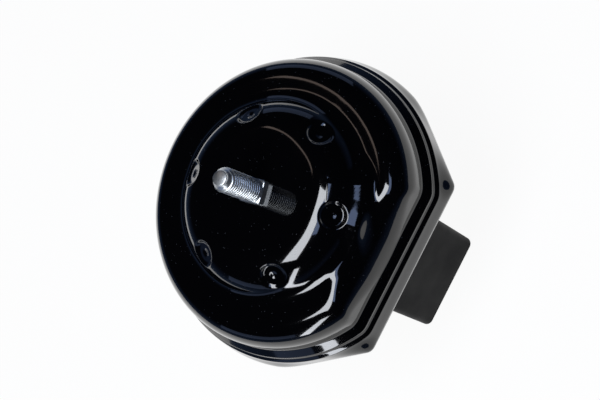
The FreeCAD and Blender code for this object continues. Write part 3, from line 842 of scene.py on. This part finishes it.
@dataclass
class Studio:
    """A white card under the part, a blue-grey room round it, soft boxes and the camera.

    The room darkens from its floor to its ceiling between two heights, given as sines of elevation.
    """

    floor_half: float = 0.4
    floor_glow: float = 0.94
    room_span: tuple[float, float] = (-0.6, 0.4)
    room_low: str = "#5d7499"
    room_horizon: str = "#2b374f"
    room_top: str = "#101216"
    lens: float = 120.0
    sensor: float = 36.0
    eye: tuple[float, float, float] = (0.050059, -0.417325, 0.773340)
    right: tuple[float, float, float] = (0.44772073, -0.75318658, -0.48192958)
    up: tuple[float, float, float] = (0.89231604, 0.41106504, 0.1865412)
    boxes: tuple[SoftBox, ...] = (
        SoftBox("OverheadBox", (-161, 51), (-19, 78), 0.27, 11.5, "#f4f8ff"),
        SoftBox("SideStrip", (-147, 29), (-160, -4), 0.10, 11.5, "#f4f8ff"),
        SoftBox("WarmLamp", (76, 50), (81, 66), 0.05, 1.3, "#ffe6da"),
        SoftBox("BoxFringe", (-107, 66), (-26, 61), 0.17, 3.2, "#b4ccff", 1.0),
        SoftBox("RightCard", (20, 8), (60, 8), 0.22, 0.4, "#b4ccff"),
        SoftBox("LeftCard", (155, 4), (-165, 4), 0.18, 0.4, "#b4ccff"),
    )

    def build(self) -> None:
        """Makes everything round the part."""
        self.floor()
        self.world()
        for box in self.boxes:
            box.build()
        self.camera()
        bpy.context.scene.view_settings.view_transform = "Standard"

    def floor(self) -> bpy.types.Object:
        """A white card, the same for camera, glossy and clear rays, with the part's faint shadow."""
        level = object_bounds()[0].z
        half = self.floor_half
        mesh = bpy.data.meshes.new("StudioFloor")
        corners = [(-half, -half, level), (half, -half, level), (half, half, level), (-half, half, level)]
        mesh.from_pydata(corners, [], [(0, 1, 2, 3)])
        made = bpy.data.objects.new("StudioFloor", mesh)
        bpy.context.scene.collection.objects.link(made)
        # Matt white card: to the eye an even white with no grain, darker only in the part's shadow.
        material = bpy.data.materials.new("matt_white_card")
        material.use_nodes = True
        tree = material.node_tree
        tree.nodes.clear()
        card = add_node(tree, "ShaderNodeBsdfDiffuse", {}, {"Color": linear("#f4f4f4")})
        glow = add_node(tree, "ShaderNodeEmission", {}, {"Color": grey(1.0), "Strength": 1.0})
        path = add_node(tree, "ShaderNodeLightPath")
        clear = add_node(tree, "ShaderNodeMath", {"operation": "MAXIMUM"},
                         links={0: path.outputs["Is Glossy Ray"],
                                1: path.outputs["Is Transmission Ray"]}).outputs["Value"]
        seen = add_node(tree, "ShaderNodeMath", {"operation": "MAXIMUM"},
                        links={0: path.outputs["Is Camera Ray"], 1: clear}).outputs["Value"]
        share = add_node(tree, "ShaderNodeMath", {"operation": "MULTIPLY"}, {1: self.floor_glow},
                         {0: seen}).outputs["Value"]
        mixed = add_node(tree, "ShaderNodeMixShader", {}, {},
                         {0: share, 1: card.outputs[0], 2: glow.outputs[0]})
        add_node(tree, "ShaderNodeOutputMaterial", links={"Surface": mixed.outputs[0]})
        mesh.materials.append(material)
        made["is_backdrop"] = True
        return made

    def world(self) -> None:
        """A room that is blue-grey low down and nearly black overhead, the same for every ray."""
        world = bpy.data.worlds.new("StudioWorld")
        world.use_nodes = True
        tree = world.node_tree
        tree.nodes.clear()
        place = add_node(tree, "ShaderNodeTexCoord").outputs["Generated"]
        height = add_node(tree, "ShaderNodeSeparateXYZ", links={"Vector": place}).outputs["Z"]
        low, high = self.room_span
        share = add_node(tree, "ShaderNodeMapRange", {}, {"From Min": low, "From Max": high},
                         {"Value": height}).outputs["Result"]
        tint = ramp(tree, share, [(0.0, linear(self.room_low)), (0.6, linear(self.room_horizon)),
                                  (0.8, linear(self.room_top))])
        sky = add_node(tree, "ShaderNodeBackground", {}, {"Strength": 1.0}, {"Color": tint})
        add_node(tree, "ShaderNodeOutputWorld", links={"Surface": sky.outputs[0]})
        bpy.context.scene.world = world

    def camera(self) -> bpy.types.Object:
        """The camera above the part's shoulder, its axes given by right, up and their cross product."""
        data = bpy.data.cameras.new("StudioCamera")
        data.lens, data.sensor_width = self.lens, self.sensor
        made = bpy.data.objects.new("StudioCamera", data)
        right, up = Vector(self.right), Vector(self.up)
        turn = Matrix((right, up, right.cross(up))).transposed()
        made.matrix_world = Matrix.Translation(self.eye) @ turn.to_4x4()
        bpy.context.scene.collection.objects.link(made)
        bpy.context.scene.camera = made
        return made


def main() -> None:
    """Builds the pieces in order, then the studio."""
    logging.basicConfig(level=logging.INFO, format="%(name)s: %(message)s")
    for piece in (PressedCup(), ThreadedStud()):
        made = piece.build()
        LOG.info("%s: %d faces", made.name, len(made.data.polygons))
    CarriedNodes().dress()
    Studio().build()


if __name__ == "__main__":
    main()
